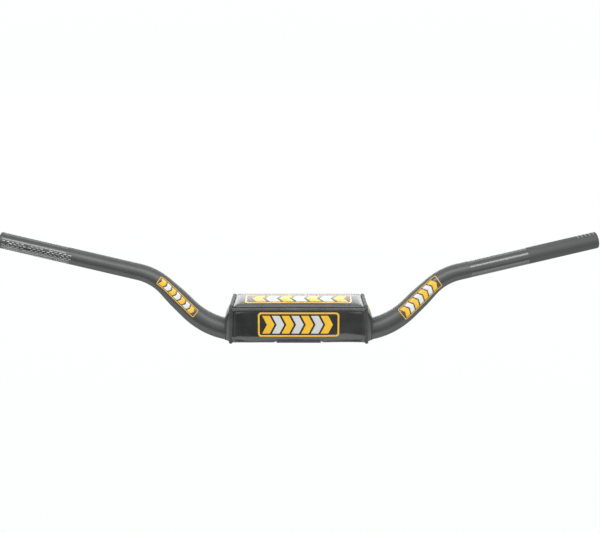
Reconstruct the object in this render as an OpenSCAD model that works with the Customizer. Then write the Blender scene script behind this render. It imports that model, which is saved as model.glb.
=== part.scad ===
// Off-road handlebar: a tapered one-piece bar with a box pad over its clamps.
// Origin: centre of the clamp section's axis. +X to one grip, +Y to the rider, +Z up.

/* [Bar tube] */
// Straight length of the middle section, which the clamps grip
clamp_len = 150; // [132:1:180]
// Outer diameter of the middle section
clamp_d = 28.6; // [25:0.1:32]
// Bore diameter of the middle section
clamp_bore_d = 20.6; // [16:0.1:22]
// Outer diameter where the slope has thinned to half way
shoulder_d = 27.2; // [24:0.1:28]
// Bore diameter half way down the slope
shoulder_bore_d = 18.6; // [14:0.1:20]
// Outer diameter of the outer bend
outer_bend_d = 22.7; // [22:0.1:24]
// Outer diameter of the grips
grip_d = 22.2; // [20:0.1:22.2]
// Bore diameter of the grips
grip_bore_d = 14; // [11:0.1:16]
// Centreline radius of the inner bend
inner_bend_r = 100; // [80:1:130]
// Angle between the middle section and each slope
slope_angle = 45; // [35:1:50]
// Lean of both slopes towards the rider
slope_lean = 10; // [0:1:14]
// Straight length of each slope
slope_len = 42; // [35:1:60]
// Centreline radius of the outer bend
outer_bend_r = 70; // [55:1:90]
// Angle of the grips towards the rider
back_sweep = 9.5; // [5:0.5:14]
// Angle of the grips above the horizontal
up_sweep = 10.5; // [5:0.5:14]
// Straight length of each grip, with its short taper
grip_len = 193; // [150:1:230]
// Length of the taper where a grip starts
grip_taper_len = 15; // [8:1:25]
// Chamfer on the rim of each end
end_chamfer = 1.5; // [0.5:0.1:2]

/* [Bar decals] */
// Thickness of a decal
decal_t = 0.3; // [0.2:0.05:0.6]
// Air gap that stands for the glue under a decal or badge
glue_gap = 0.1; // [0.05:0.05:0.2]
// How far each decal runs past both ends of its slope
decal_overrun = 16; // [2:1:20]
// Distance from the tube's middle plane to a decal's long edges
decal_edge = 3; // [1:0.5:8]

/* [Pad] */
// Width of the pad between the middles of its end welts
pad_w = 182.4; // [164:0.2:190]
// Distance from the bar's axis to the pad's front face
pad_front = 28; // [25:0.5:36]
// Distance from the bar's axis to the pad's rear face
pad_rear = 25.5; // [25:0.5:36]
// Height of the pad's top face above the bar's axis
pad_top = 43.5; // [40:0.5:60]
// Depth of the pad's lower edge below the bar's axis
pad_drop = 7; // [4:0.5:9]
// How far each end panel bulges past its welt
end_bulge = 6; // [3:0.5:8]
// Thickness of the cover material
cover_t = 1.4; // [0.8:0.1:2]
// Diameter of the welts that frame the end panels
welt_d = 4.2; // [3:0.1:5]
// Corner radius of the end welts, on their middle line
welt_corner_r = 4; // [3:0.5:8]
// Diameter of the piping along the two top edges
piping_d = 2.4; // [1.6:0.1:3]
// Air gap that stands for the stitched seam between two pieces
seam_gap = 0.2; // [0.1:0.05:0.3]
// Clearance between the bar and the pad's channel
bar_clearance = 0.8; // [0.7:0.1:1.5]

/* [Clamp pockets in the foam] */
// Distance between the middles of the two handlebar clamps
clamp_spacing = 100; // [84:1:108]
// Width of each pocket along the bar
pocket_w = 34; // [28:1:36]
// Front-to-rear size of each pocket
pocket_d = 40; // [36:1:42]
// Height of each pocket's roof above the bar's axis
pocket_roof = 25; // [22:1:30]

/* [Closure flaps] */
// Width of both flaps along the bar
flap_w = 58; // [40:1:60]
// Thickness of the flap material
flap_t = 1.2; // [0.8:0.1:1.5]
// Diameter of the folded hem that each flap turns on
hem_d = 2.4; // [2:0.1:3]
// Distance behind the bar's axis at which the short rear flap ends
rear_flap_end = 4; // [2:0.5:5]
// Width of the hook strip and of the loop strip
strip_w = 10; // [7:0.5:10]
// Thickness of the hook strip and of the loop strip
strip_t = 0.8; // [0.5:0.1:1.2]
// Gap between the closed hook and loop strips
strip_gap = 0.3; // [0.2:0.05:0.5]

/* [Badges] */
// Width of the front badge
front_badge_w = 107; // [60:1:150]
// Height of the front badge
front_badge_h = 34; // [20:1:40]
// Width of the top badge
top_badge_w = 140; // [80:1:160]
// Depth of the top badge
top_badge_h = 29; // [16:1:40]
// Width of the printed outline of a badge
badge_line = 2.4; // [1.5:0.1:4]
// Thickness of a badge
badge_t = 0.4; // [0.2:0.1:0.8]
// Width of the small label on the right end panel
label_w = 10; // [6:0.5:14]
// Height of the small label on the right end panel
label_h = 8; // [4:0.5:10]

/* [Hidden] */
$fn = 96;
past = 1; // how far a cutting shape runs past what it cuts
collar = 1; // plain length of tube at both ends of a slope
swage = 0.05; // how much thinner, in radius, a stretch of tube is than the bend before it

// The bar's directions. A path frame has +X along the tube and +Z to the inside of the bend.
slope_x = [cos(slope_angle), sin(slope_angle) * sin(slope_lean), sin(slope_angle) * cos(slope_lean)];
slope_y = [0, cos(slope_lean), -sin(slope_lean)];
slope_z = cross(slope_x, slope_y);
grip_raw = [1, tan(back_sweep), tan(up_sweep)];
grip_x = grip_raw / norm(grip_raw);
outer_bend_angle = acos(grip_x * slope_x);
outer_bend_roll = atan2(-(grip_x * slope_y), grip_x * slope_z);

// The pad's faces
welt_r = welt_d / 2;
piping_r = piping_d / 2;
panel_half_w = pad_w / 2 - welt_r - seam_gap;
core_front = pad_front - cover_t - seam_gap;
core_rear = pad_rear - cover_t - seam_gap;
core_top = pad_top - cover_t - seam_gap;
welt_front = pad_front - welt_r + 0.3;
welt_rear = pad_rear - welt_r + 0.3;
welt_top = pad_top - welt_r + 1.1;
end_front = welt_front - welt_r - seam_gap;
end_rear = welt_rear - welt_r - seam_gap;
end_top = welt_top - welt_r - seam_gap;
end_x = pad_w / 2 + end_bulge;
channel_r = clamp_d / 2 + bar_clearance;

// The slot in each end panel lies where the bar has already begun to climb
slot_run = end_x - clamp_len / 2;
slot_climb = inner_bend_r - sqrt(pow(inner_bend_r - clamp_d / 2, 2) - slot_run * slot_run) - clamp_d / 2;
slot_r = channel_r + 0.7;
slot_rise = slot_climb + bar_clearance + clamp_d / 2 - slot_r;

// The closure. The short rear flap lies inside the long front flap, so it is listed first.
hem_r = hem_d / 2;
hinge_z = hem_r - pad_drop;
front_hinge_y = -(pad_front - cover_t);
rear_hinge_y = pad_rear - cover_t;
notch_half_w = flap_w / 2 + 2 * seam_gap;
notch_z = -pad_drop + hem_d + 2 * seam_gap;
rear_flap_z = -sqrt(channel_r * channel_r - rear_flap_end * rear_flap_end) - flap_t;
loop_z = rear_flap_z - glue_gap - strip_t;
hook_z = loop_z - strip_gap - strip_t;
front_flap_z = hook_z - glue_gap - flap_t;
strip_start = rear_flap_end + 0.5;
front_flap_end = strip_start + strip_w + 1;

// ---------------------------------------------------------------- helpers

// A rod of the given radius along +X, tapering to end_r
module rod(len, r, end_r) {
    rotate([0, 90, 0])
        cylinder(h = len, r1 = r, r2 = end_r);
}

// A bent rod that starts at the origin along +X and bends towards +Z
module bent_rod(bend_r, angle, r) {
    translate([0, 0, bend_r])
        rotate([-90, 0, 0])
            rotate_extrude(angle = angle, start = 90 - angle)
                translate([bend_r, 0])
                    circle(r);
}

// Carries its children to the end of a bend
module past_bend(bend_r, angle) {
    translate([0, 0, bend_r])
        rotate([0, -angle, 0])
            translate([0, 0, -bend_r])
                children();
}

// Carries its children to the start of the slope
module on_slope() {
    translate([clamp_len / 2, 0, 0])
        rotate([-slope_lean, 0, 0])
            past_bend(inner_bend_r, slope_angle)
                children();
}

// Carries its children to the start of the outer bend
module on_outer_bend() {
    on_slope()
        translate([slope_len, 0, 0])
            rotate([outer_bend_roll, 0, 0])
                children();
}

// Carries its children to the start of the grip
module on_grip() {
    on_outer_bend()
        past_bend(outer_bend_r, outer_bend_angle)
            children();
}

// Draws its children on the +X side and mirrored on the -X side
module both_sides() {
    children();
    mirror([1, 0, 0])
        children();
}

// A box from its lowest and highest corners
module box(low, high) {
    translate(low)
        cube(high - low);
}

// A rounded rectangle, centred
module rounded(w, h, r) {
    for (x = [-1, 1], y = [-1, 1])
        translate([x * (w / 2 - r), y * (h / 2 - r)])
            circle(r);
    square([w - 2 * r, h], center = true);
    square([w, h - 2 * r], center = true);
}

// ---------------------------------------------------------------- bar

// The middle section and the inner bend of the +X side
module middle(r) {
    rotate([-slope_lean, 0, 0]) {
        translate([-clamp_len / 2, 0, 0])
            rod(clamp_len, r, r);
        translate([clamp_len / 2, 0, 0])
            bent_rod(inner_bend_r, slope_angle, r);
    }
}

// The slope and outer bend of the +X side, for the given radii before, half way and after.
// Each stretch after a bend starts inside it, a little thinner. The second taper runs on
// inside the cylinder before the outer bend.
module climb(inner_r, shoulder_r, outer_r) {
    middle(inner_r);
    taper_len = slope_len / 2 - collar;
    start_r = inner_r - swage;
    run_on = collar / 2;
    run_on_r = outer_r - (shoulder_r - outer_r) * run_on / taper_len;
    on_slope() {
        translate([-collar, 0, 0])
            rod(2 * collar, start_r, start_r);
        translate([collar, 0, 0])
            rod(taper_len, start_r, shoulder_r);
        translate([slope_len / 2, 0, 0])
            rod(taper_len + run_on, shoulder_r, run_on_r);
    }
    on_outer_bend() {
        translate([-2 * collar, 0, 0])
            rod(2 * collar, outer_r, outer_r);
        bent_rod(outer_bend_r, outer_bend_angle, outer_r);
    }
}

// The climb's outer surface, thicker all round by the given growth
module outer_climb(grow) {
    climb(clamp_d / 2 + grow, shoulder_d / 2 + grow, outer_bend_d / 2 + grow);
}

module bar_outside() {
    start_r = outer_bend_d / 2 - swage;
    both_sides() {
        outer_climb(0);
        on_grip() {
            translate([-collar, 0, 0])
                rod(collar, start_r, start_r);
            rod(grip_taper_len, start_r, grip_d / 2);
            translate([grip_taper_len, 0, 0])
                rod(grip_len - grip_taper_len - end_chamfer, grip_d / 2, grip_d / 2);
            translate([grip_len - end_chamfer, 0, 0])
                rod(end_chamfer, grip_d / 2, grip_d / 2 - end_chamfer);
        }
    }
}

module bar_bore() {
    both_sides() {
        climb(clamp_bore_d / 2, shoulder_bore_d / 2, grip_bore_d / 2);
        on_grip()
            translate([-collar, 0, 0])
                rod(collar + grip_len + past, grip_bore_d / 2 - swage, grip_bore_d / 2 - swage);
    }
}

module bar_tube() {
    color("dimgray")
        difference() {
            bar_outside();
            bar_bore();
        }
}

// The decal of the +X side: a skin over the tube's front half, from bend to bend
module side_decal() {
    intersection() {
        difference() {
            outer_climb(glue_gap + decal_t);
            outer_climb(glue_gap);
        }
        on_slope()
            box([-decal_overrun, -clamp_d, -clamp_d], [slope_len + decal_overrun, -decal_edge, clamp_d]);
    }
}

module tube_decal_left() {
    color("white")
        mirror([1, 0, 0])
            side_decal();
}

module tube_decal_right() {
    color("gold")
        side_decal();
}

// ---------------------------------------------------------------- pad

// An arc-edged shape: a rectangle from x = 0 to the bulge's tip, whose far edge is an arc.
// The arc passes the given x at both ends of its chord and bulges by end_bulge between them.
module bulged(chord, middle) {
    bulge_r = (chord * chord / 4 + end_bulge * end_bulge) / (2 * end_bulge);
    intersection() {
        translate([0, middle - chord / 2])
            square([end_x, chord]);
        translate([end_x - bulge_r, middle])
            circle(bulge_r);
    }
}

// The +X half of the padded body, its end bulging in plan and towards the tube
module end_form(inset) {
    depth = pad_front + pad_rear;
    intersection() {
        translate([-inset, 0, -pad_drop])
            linear_extrude(pad_top + pad_drop)
                bulged(depth, (pad_rear - pad_front) / 2);
        translate([-inset, pad_rear, 0])
            rotate([90, 0, 0])
                linear_extrude(depth)
                    bulged(2 * pad_top, 0);
    }
}

// The space in which an end panel lies: between the legs of its welt, with both top corners cut off
module end_frame(low_x, high_x) {
    corner = welt_corner_r - welt_r - seam_gap;
    translate([low_x, 0, 0])
        rotate([90, 0, 90])
            linear_extrude(high_x - low_x)
                polygon([
                    [-end_front, -pad_drop],
                    [end_rear, -pad_drop],
                    [end_rear, end_top - corner],
                    [end_rear - corner, end_top],
                    [-end_front + corner, end_top],
                    [-end_front, end_top - corner]
                ]);
}

// The slot in an end panel, open downwards, with a round top over the climbing bar
module end_slot(low_x, high_x) {
    translate([low_x, 0, slot_rise])
        rod(high_x - low_x, slot_r, slot_r);
    box([low_x, -slot_r, -pad_drop - past], [high_x, slot_r, slot_rise]);
}

module foam_half() {
    difference() {
        union() {
            box([0, -core_front, -pad_drop], [panel_half_w, core_rear, core_top]);
            intersection() {
                end_form(cover_t + seam_gap);
                end_frame(panel_half_w - past, end_x);
            }
        }
        end_slot(clamp_len / 2, end_x + past);
        translate([-past, 0, 0])
            rod(clamp_len / 2 + 2 * past, channel_r, channel_r);
        box([-past, -channel_r, -pad_drop - past], [clamp_len / 2 + past, channel_r, 0]);
        box([(clamp_spacing - pocket_w) / 2, -pocket_d / 2, -pad_drop - past],
            [(clamp_spacing + pocket_w) / 2, pocket_d / 2, pocket_roof]);
        box([-past, -pad_front, -pad_drop - past], [notch_half_w, pad_rear, notch_z]);
        for (y = [-pad_front, pad_rear - piping_d - seam_gap])
            box([-past, y, pad_top - piping_d - seam_gap],
                [end_x, y + piping_d + seam_gap, pad_top]);
    }
}

module foam_core() {
    color("darkgray")
        both_sides()
            foam_half();
}

// An upright panel between two depths, with a notch over the flap that is sewn to its lower edge
module upright_panel(low_y, high_y) {
    difference() {
        box([-panel_half_w, low_y, -pad_drop], [panel_half_w, high_y, pad_top - piping_d]);
        box([-notch_half_w, low_y - past, -pad_drop - past], [notch_half_w, high_y + past, notch_z]);
    }
}

module cover_front() {
    color([0.13, 0.13, 0.14])
        upright_panel(-pad_front, -pad_front + cover_t);
}

module cover_top() {
    color([0.16, 0.16, 0.17])
        box([-panel_half_w, -pad_front + piping_d, pad_top - cover_t],
            [panel_half_w, pad_rear - piping_d, pad_top]);
}

module cover_rear() {
    color([0.13, 0.13, 0.14])
        upright_panel(pad_rear - cover_t, pad_rear);
}

module end_panel_right() {
    color([0.15, 0.15, 0.16])
        difference() {
            intersection() {
                end_form(0);
                end_frame(pad_w / 2 - welt_r, end_x);
            }
            intersection() {
                end_form(cover_t);
                end_frame(0, end_x);
            }
            end_slot(0, end_x + past);
        }
}

module end_panel_left() {
    mirror([1, 0, 0])
        end_panel_right();
}

// The piping frame of the +X end: up the front, over the top and down the rear
module end_welt() {
    leg_len = welt_top - welt_corner_r + pad_drop;
    translate([pad_w / 2, 0, 0]) {
        for (y = [-welt_front, welt_rear])
            translate([0, y, -pad_drop])
                cylinder(h = leg_len, r = welt_r);
        translate([0, -welt_front + welt_corner_r, welt_top])
            rotate([-90, 0, 0])
                cylinder(h = welt_front + welt_rear - 2 * welt_corner_r, r = welt_r);
        for (corner = [[-welt_front + welt_corner_r, 90], [welt_rear - welt_corner_r, 0]])
            translate([0, corner[0], welt_top - welt_corner_r])
                rotate([90, 0, 90])
                    rotate([0, 0, corner[1]])
                        rotate_extrude(angle = 90)
                            translate([welt_corner_r, 0])
                                circle(welt_r);
    }
}

module welt_right() {
    color([0.1, 0.1, 0.1])
        end_welt();
}

module welt_left() {
    color([0.1, 0.1, 0.1])
        mirror([1, 0, 0])
            end_welt();
}

// Piping along a top edge, with its middle on the given line
module edge_piping(y) {
    color([0.1, 0.1, 0.1])
        translate([-panel_half_w, y, pad_top - piping_r])
            rod(2 * panel_half_w, piping_r - seam_gap, piping_r - seam_gap);
}

module piping_front() {
    edge_piping(-pad_front + piping_r);
}

module piping_rear() {
    edge_piping(pad_rear - piping_r);
}

// ---------------------------------------------------------------- closure

// A flap of even thickness: its hem on the hinge line, a slope down and a level part
module flap(hinge_y, bend_y, end_y, under_z) {
    side = sign(end_y - hinge_y);
    root_y = hinge_y + side * hem_r / 2;
    translate([-flap_w / 2, 0, 0]) {
        translate([0, hinge_y, hinge_z])
            rod(flap_w, hem_r, hem_r);
        rotate([90, 0, 90])
            linear_extrude(flap_w)
                polygon([
                    [root_y, hinge_z + flap_t / 2],
                    [bend_y + side * flap_t / 4, under_z + flap_t],
                    [end_y, under_z + flap_t],
                    [end_y, under_z],
                    [bend_y - side * flap_t / 4, under_z],
                    [root_y, hinge_z - flap_t / 2]
                ]);
    }
}

module front_flap() {
    color([0.12, 0.12, 0.12])
        flap(front_hinge_y, strip_start - 1.5, front_flap_end, front_flap_z);
}

module rear_flap() {
    color([0.12, 0.12, 0.12])
        flap(rear_hinge_y, front_flap_end, rear_flap_end, rear_flap_z);
}

// A strip of hook or loop tape with its lower face at the given height
module strip(z) {
    box([-flap_w / 2 + 1, strip_start, z], [flap_w / 2 - 1, strip_start + strip_w, z + strip_t]);
}

module loop_strip() {
    color([0.2, 0.2, 0.2])
        strip(loop_z);
}

module hook_strip() {
    color([0.08, 0.08, 0.08])
        strip(hook_z);
}

// ---------------------------------------------------------------- badges

// A plain badge, flat on the XY plane: an outline with a solid block and three bars in it
module badge(w, h) {
    corner_r = h / 5;
    inner_h = h - 4 * badge_line;
    block_w = w / 4;
    bars_x = -w / 2 + 3 * badge_line + block_w;
    bar_w = (w / 2 - 2 * badge_line - bars_x);
    linear_extrude(badge_t) {
        difference() {
            rounded(w, h, corner_r);
            rounded(w - 2 * badge_line, h - 2 * badge_line, corner_r - badge_line / 2);
        }
        translate([-w / 2 + 2 * badge_line, -inner_h / 2])
            square([block_w, inner_h]);
        for (i = [0:2])
            translate([bars_x, -inner_h / 2 + i * inner_h * 0.4])
                square([bar_w, inner_h * 0.2]);
    }
}

module badge_front() {
    color("gold")
        translate([0, -pad_front - glue_gap, (pad_top - pad_drop - piping_d) / 2])
            rotate([90, 0, 0])
                badge(front_badge_w, front_badge_h);
}

module badge_top() {
    color("khaki")
        translate([0, (pad_rear - pad_front) / 2, pad_top + glue_gap])
            badge(top_badge_w, top_badge_h);
}

// A small label that follows the bulge of the right end panel, high on its front half
module end_label() {
    low_y = -label_w - cover_t;
    high_z = end_top - cover_t;
    color("gold")
        intersection() {
            difference() {
                end_form(-glue_gap - badge_t);
                end_form(-glue_gap);
            }
            box([pad_w / 2, low_y, high_z - label_h], [end_x + cover_t, low_y + label_w, high_z]);
        }
}

bar_tube();
tube_decal_left();
tube_decal_right();
foam_core();
cover_front();
cover_top();
cover_rear();
end_panel_left();
end_panel_right();
welt_left();
welt_right();
piping_front();
piping_rear();
front_flap();
rear_flap();
loop_strip();
hook_strip();
badge_front();
badge_top();
end_label();
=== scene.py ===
"""Looks of an off-road handlebar with a bar pad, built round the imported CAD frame.

Lengths in this script are in millimetres unless a name says otherwise; MM turns them into metres.
"""
import math
import random

import bmesh
import bpy
import numpy as np
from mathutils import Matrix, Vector, noise
from mathutils.bvhtree import BVHTree


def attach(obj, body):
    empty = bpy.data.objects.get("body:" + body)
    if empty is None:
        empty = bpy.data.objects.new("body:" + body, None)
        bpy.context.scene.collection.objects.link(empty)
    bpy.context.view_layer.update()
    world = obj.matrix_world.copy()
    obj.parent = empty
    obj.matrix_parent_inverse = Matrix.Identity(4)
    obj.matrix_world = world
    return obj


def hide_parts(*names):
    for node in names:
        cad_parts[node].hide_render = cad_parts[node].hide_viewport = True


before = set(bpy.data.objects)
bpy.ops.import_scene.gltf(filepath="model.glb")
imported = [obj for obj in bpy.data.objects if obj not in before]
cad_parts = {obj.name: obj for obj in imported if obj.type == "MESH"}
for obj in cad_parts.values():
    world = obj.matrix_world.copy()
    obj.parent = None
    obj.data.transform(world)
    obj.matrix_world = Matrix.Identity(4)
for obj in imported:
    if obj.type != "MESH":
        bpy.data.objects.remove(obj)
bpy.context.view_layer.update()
MM = 0.001
RNG = random.Random(7)

# ---------------------------------------------------------------- sizes, as in the CAD

CLAMP_HALF = 75.0
INNER_BEND_R = 100.0
SLOPE_ANGLE = math.radians(45)
SLOPE_LEAN = math.radians(10)
SLOPE_LEN = 42.0
OUTER_BEND_R = 70.0
BACK_SWEEP = math.radians(9.5)
UP_SWEEP = math.radians(10.5)
GRIP_LEN = 193.0
PAD_FRONT = -28.0
PAD_REAR = 25.5
PAD_TOP = 43.5
PAD_BOTTOM = -7.0
PANEL_HALF = 87.9
WELT_X = 89.4
WELT_R = 2.35
END_X = 89.7
FOLD_SOFT = 0.7
FOLD_SLOPE = 0.34
END_RISE = 10.0
COVER_T = 1.3
FLAP_HALF = 29.0
SLOT_R = 15.9
SLOT_Z = 2.2
NARROW_UP = 0.014
NARROW_BACK = 0.036


def smooth(t):
    """A soft step from 0 to 1."""
    t = np.clip(t, 0.0, 1.0)
    return t * t * (3 - 2 * t)


# ---------------------------------------------------------------- meshes


def mesh_object(name, verts_mm, faces, material=None, smooth_faces=True):
    """A new object from points in millimetres."""
    mesh = bpy.data.meshes.new(name)
    mesh.from_pydata([tuple(c * MM for c in v) for v in verts_mm], [], [tuple(f) for f in faces])
    mesh.validate()
    obj = bpy.data.objects.new(name, mesh)
    bpy.context.scene.collection.objects.link(obj)
    if material is not None:
        mesh.materials.append(material)
    if smooth_faces:
        mesh.polygons.foreach_set("use_smooth", [True] * len(mesh.polygons))
    return obj


def outward(obj):
    """Turns every face of a closed mesh outwards."""
    bm = bmesh.new()
    bm.from_mesh(obj.data)
    bmesh.ops.recalc_face_normals(bm, faces=bm.faces)
    bm.to_mesh(obj.data)
    bm.free()
    return obj


def add_uv(obj, uv_of_vertex):
    """One UV for each vertex, in metres along the surface."""
    layer = obj.data.uv_layers.new(name="UVMap")
    index = np.zeros(len(obj.data.loops), np.int32)
    obj.data.loops.foreach_get("vertex_index", index)
    layer.data.foreach_set("uv", np.asarray(uv_of_vertex, np.float32)[index].ravel())


def refine(obj, levels):
    """Adds subdivision of that many levels."""
    modifier = obj.modifiers.new("Subdivision", "SUBSURF")
    modifier.levels = levels
    modifier.render_levels = levels


def evaluated_points(obj):
    """The points of an object after its modifiers."""
    evaluated = obj.evaluated_get(bpy.context.evaluated_depsgraph_get())
    mesh = evaluated.to_mesh()
    places = np.zeros(len(mesh.vertices) * 3, np.float32)
    mesh.vertices.foreach_get("co", places)
    evaluated.to_mesh_clear()
    return places.reshape(-1, 3).astype(float)


def surface_tree(obj):
    """A search tree for rays that meet the finished surface of an object."""
    return BVHTree.FromObject(obj, bpy.context.evaluated_depsgraph_get())


def double_sheet(nu, nv):
    """Faces of a closed sheet: a face of nu by nv points, a back of as many, and the rim between them."""
    back = nu * nv
    faces = []
    for i in range(nu - 1):
        for j in range(nv - 1):
            quad = [i * nv + j, (i + 1) * nv + j, (i + 1) * nv + j + 1, i * nv + j + 1]
            faces.append(quad)
            faces.append([back + k for k in quad[::-1]])
    rim = [i * nv for i in range(nu)] + [(nu - 1) * nv + j for j in range(1, nv)]
    rim += [i * nv + nv - 1 for i in range(nu - 2, -1, -1)] + list(range(nv - 2, 0, -1))
    for a, b in zip(rim, rim[1:] + rim[:1]):
        faces.append([b, a, back + a, back + b])
    return faces


class Parts:
    """Collects many small closed shapes into one mesh."""

    def __init__(self):
        self.verts = []
        self.faces = []

    def add(self, verts, faces):
        base = len(self.verts)
        self.verts.extend(verts)
        self.faces.extend([[i + base for i in f] for f in faces])

    def build(self, name, material, smooth_faces=True):
        return mesh_object(name, self.verts, self.faces, material, smooth_faces)


def tube_shape(points, radii, sides, closed=False, flat=1.0):
    """Verts and faces of a round tube along points, with caps. flat squeezes it along its second axis."""
    pts = [Vector(p) for p in points]
    n = len(pts)
    tangents = []
    for i in range(n):
        a = pts[i - 1] if i > 0 or closed else pts[0]
        b = pts[(i + 1) % n] if i < n - 1 or closed else pts[-1]
        tangents.append((b - a).normalized())
    side = tangents[0].orthogonal().normalized()
    verts = []
    for i in range(n):
        side = (side - tangents[i] * side.dot(tangents[i])).normalized()
        up = tangents[i].cross(side)
        r = radii[i] if hasattr(radii, "__len__") else radii
        for k in range(sides):
            a = 2 * math.pi * k / sides
            verts.append(pts[i] + side * (r * math.cos(a)) + up * (r * flat * math.sin(a)))
    faces = []
    rings = n if closed else n - 1
    for i in range(rings):
        j = (i + 1) % n
        for k in range(sides):
            m = (k + 1) % sides
            faces.append([i * sides + k, i * sides + m, j * sides + m, j * sides + k])
    if not closed:
        faces.append(list(range(sides))[::-1])
        faces.append([(n - 1) * sides + k for k in range(sides)])
    return verts, faces


def rounded_ends(points, radius, steps=4):
    """Points and radii of a tube whose two ends are domed."""
    pts = [Vector(p) for p in points]
    head = (pts[0] - pts[1]).normalized()
    tail = (pts[-1] - pts[-2]).normalized()
    out, radii = [], []
    for k in range(steps, 0, -1):
        a = math.pi / 2 * k / (steps + 0.3)
        out.append(pts[0] + head * (radius * math.sin(a) * 0.6))
        radii.append(radius * math.cos(a))
    out.extend(pts)
    radii.extend([radius] * len(pts))
    for k in range(1, steps + 1):
        a = math.pi / 2 * k / (steps + 0.3)
        out.append(pts[-1] + tail * (radius * math.sin(a) * 0.6))
        radii.append(radius * math.cos(a))
    return out, radii


# ---------------------------------------------------------------- materials


class Graph:
    """A material's nodes, with short calls for the ones used here."""

    def __init__(self, name):
        self.material = bpy.data.materials.new(name)
        self.material.use_nodes = True
        self.tree = self.material.node_tree
        self.tree.nodes.clear()
        self.out = self.add("ShaderNodeOutputMaterial")
        self.shader = self.add("ShaderNodeBsdfPrincipled")
        self.link(self.shader.outputs["BSDF"], self.out.inputs["Surface"])
        self.coords = self.add("ShaderNodeTexCoord")

    def add(self, kind, **props):
        node = self.tree.nodes.new(kind)
        for key, value in props.items():
            setattr(node, key, value)
        return node

    def link(self, a, b):
        self.tree.links.new(a, b)

    def constant(self, **values):
        for key, value in values.items():
            self.shader.inputs[key.replace("_", " ")].default_value = value

    def place(self, scale=(1, 1, 1), space="Object", rotation=(0, 0, 0)):
        node = self.add("ShaderNodeMapping")
        node.inputs["Scale"].default_value = scale
        node.inputs["Rotation"].default_value = rotation
        self.link(self.coords.outputs[space], node.inputs["Vector"])
        return node.outputs["Vector"]

    def noise(self, size, vector=None, detail=3.0, rough=0.55, distortion=0.0):
        """Noise whose features are about size millimetres."""
        node = self.add("ShaderNodeTexNoise")
        node.inputs["Scale"].default_value = 1 / (size * MM)
        node.inputs["Detail"].default_value = detail
        node.inputs["Roughness"].default_value = rough
        node.inputs["Distortion"].default_value = distortion
        self.link(vector or self.coords.outputs["Object"], node.inputs["Vector"])
        return node.outputs["Fac"]

    def cells(self, size, feature="F1", randomness=1.0):
        """Cells of about size millimetres."""
        node = self.add("ShaderNodeTexVoronoi", feature=feature)
        node.inputs["Scale"].default_value = 1 / (size * MM)
        node.inputs["Randomness"].default_value = randomness
        self.link(self.coords.outputs["Object"], node.inputs["Vector"])
        return node.outputs["Distance"]

    def waves(self, size, vector, direction="X", distortion=0.0):
        """Bands that repeat about every size millimetres."""
        node = self.add("ShaderNodeTexWave", bands_direction=direction)
        node.inputs["Scale"].default_value = math.pi / (20 * size * MM)
        node.inputs["Distortion"].default_value = distortion
        self.link(vector, node.inputs["Vector"])
        return node.outputs["Fac"]

    def math(self, operation, a, b):
        node = self.add("ShaderNodeMath", operation=operation)
        for socket, value in zip(node.inputs, (a, b)):
            if isinstance(value, (int, float)):
                socket.default_value = value
            else:
                self.link(value, socket)
        return node.outputs[0]

    def blend(self, a, weight_a, b, weight_b):
        """The weighted sum of two values."""
        return self.math("ADD", self.math("MULTIPLY", a, weight_a), self.math("MULTIPLY", b, weight_b))

    def ramp(self, fac, low, high, to_low=0.0, to_high=1.0):
        node = self.add("ShaderNodeMapRange", clamp=True)
        node.inputs["From Min"].default_value = low
        node.inputs["From Max"].default_value = high
        node.inputs["To Min"].default_value = to_low
        node.inputs["To Max"].default_value = to_high
        self.link(fac, node.inputs["Value"])
        return node.outputs["Result"]

    def mix(self, fac, a, b):
        node = self.add("ShaderNodeMix", data_type="RGBA")
        for socket, value in ((node.inputs[0], fac), (node.inputs[6], a), (node.inputs[7], b)):
            if isinstance(value, (int, float)):
                socket.default_value = value
            elif isinstance(value, tuple):
                socket.default_value = (*value, 1.0)
            else:
                self.link(value, socket)
        return node.outputs[2]

    def bump(self, height, depth, strength=1.0, normal=None):
        """Bump of about depth millimetres."""
        node = self.add("ShaderNodeBump")
        node.inputs["Strength"].default_value = strength
        node.inputs["Distance"].default_value = depth * MM
        self.link(height, node.inputs["Height"])
        if normal is not None:
            self.link(normal, node.inputs["Normal"])
        return node.outputs["Normal"]

    def surface(self, color, roughness, normal):
        self.link(color, self.shader.inputs["Base Color"])
        self.link(roughness, self.shader.inputs["Roughness"])
        self.link(normal, self.shader.inputs["Normal"])
        return self.material


def scaled(color, k):
    """The colour, made k times as bright."""
    return tuple(c * k for c in color)


def anodised(name, color, rough, grain=0.35, grain_depth=0.010, metallic=0.8):
    """Dyed alloy: broad tone, lengthwise draw lines, fine grain and a few scuffs."""
    g = Graph(name)
    g.constant(Metallic=metallic, Specular_IOR_Level=0.5)
    broad = g.noise(28, detail=4)
    fine = g.noise(grain, detail=2)
    drawn = g.noise(1.0, g.place((0.9, 55, 1), "UV"), detail=2)
    scuffs = g.ramp(g.noise(5, g.place((0.35, 1, 1), "UV"), detail=5, rough=0.7), 0.66, 0.74)
    tone = g.blend(broad, 0.6, drawn, 0.4)
    base = g.mix(g.ramp(tone, 0.3, 0.7), scaled(color, 0.9), scaled(color, 1.1))
    base = g.mix(g.math("MULTIPLY", scuffs, 0.18), base, scaled(color, 1.9))
    roughness = g.ramp(g.blend(fine, 0.5, drawn, 0.5), 0.3, 0.7, rough - 0.05, rough + 0.05)
    normal = g.bump(fine, grain_depth, 0.5, g.bump(drawn, 0.012, 0.3))
    return g.surface(base, roughness, normal)


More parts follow.
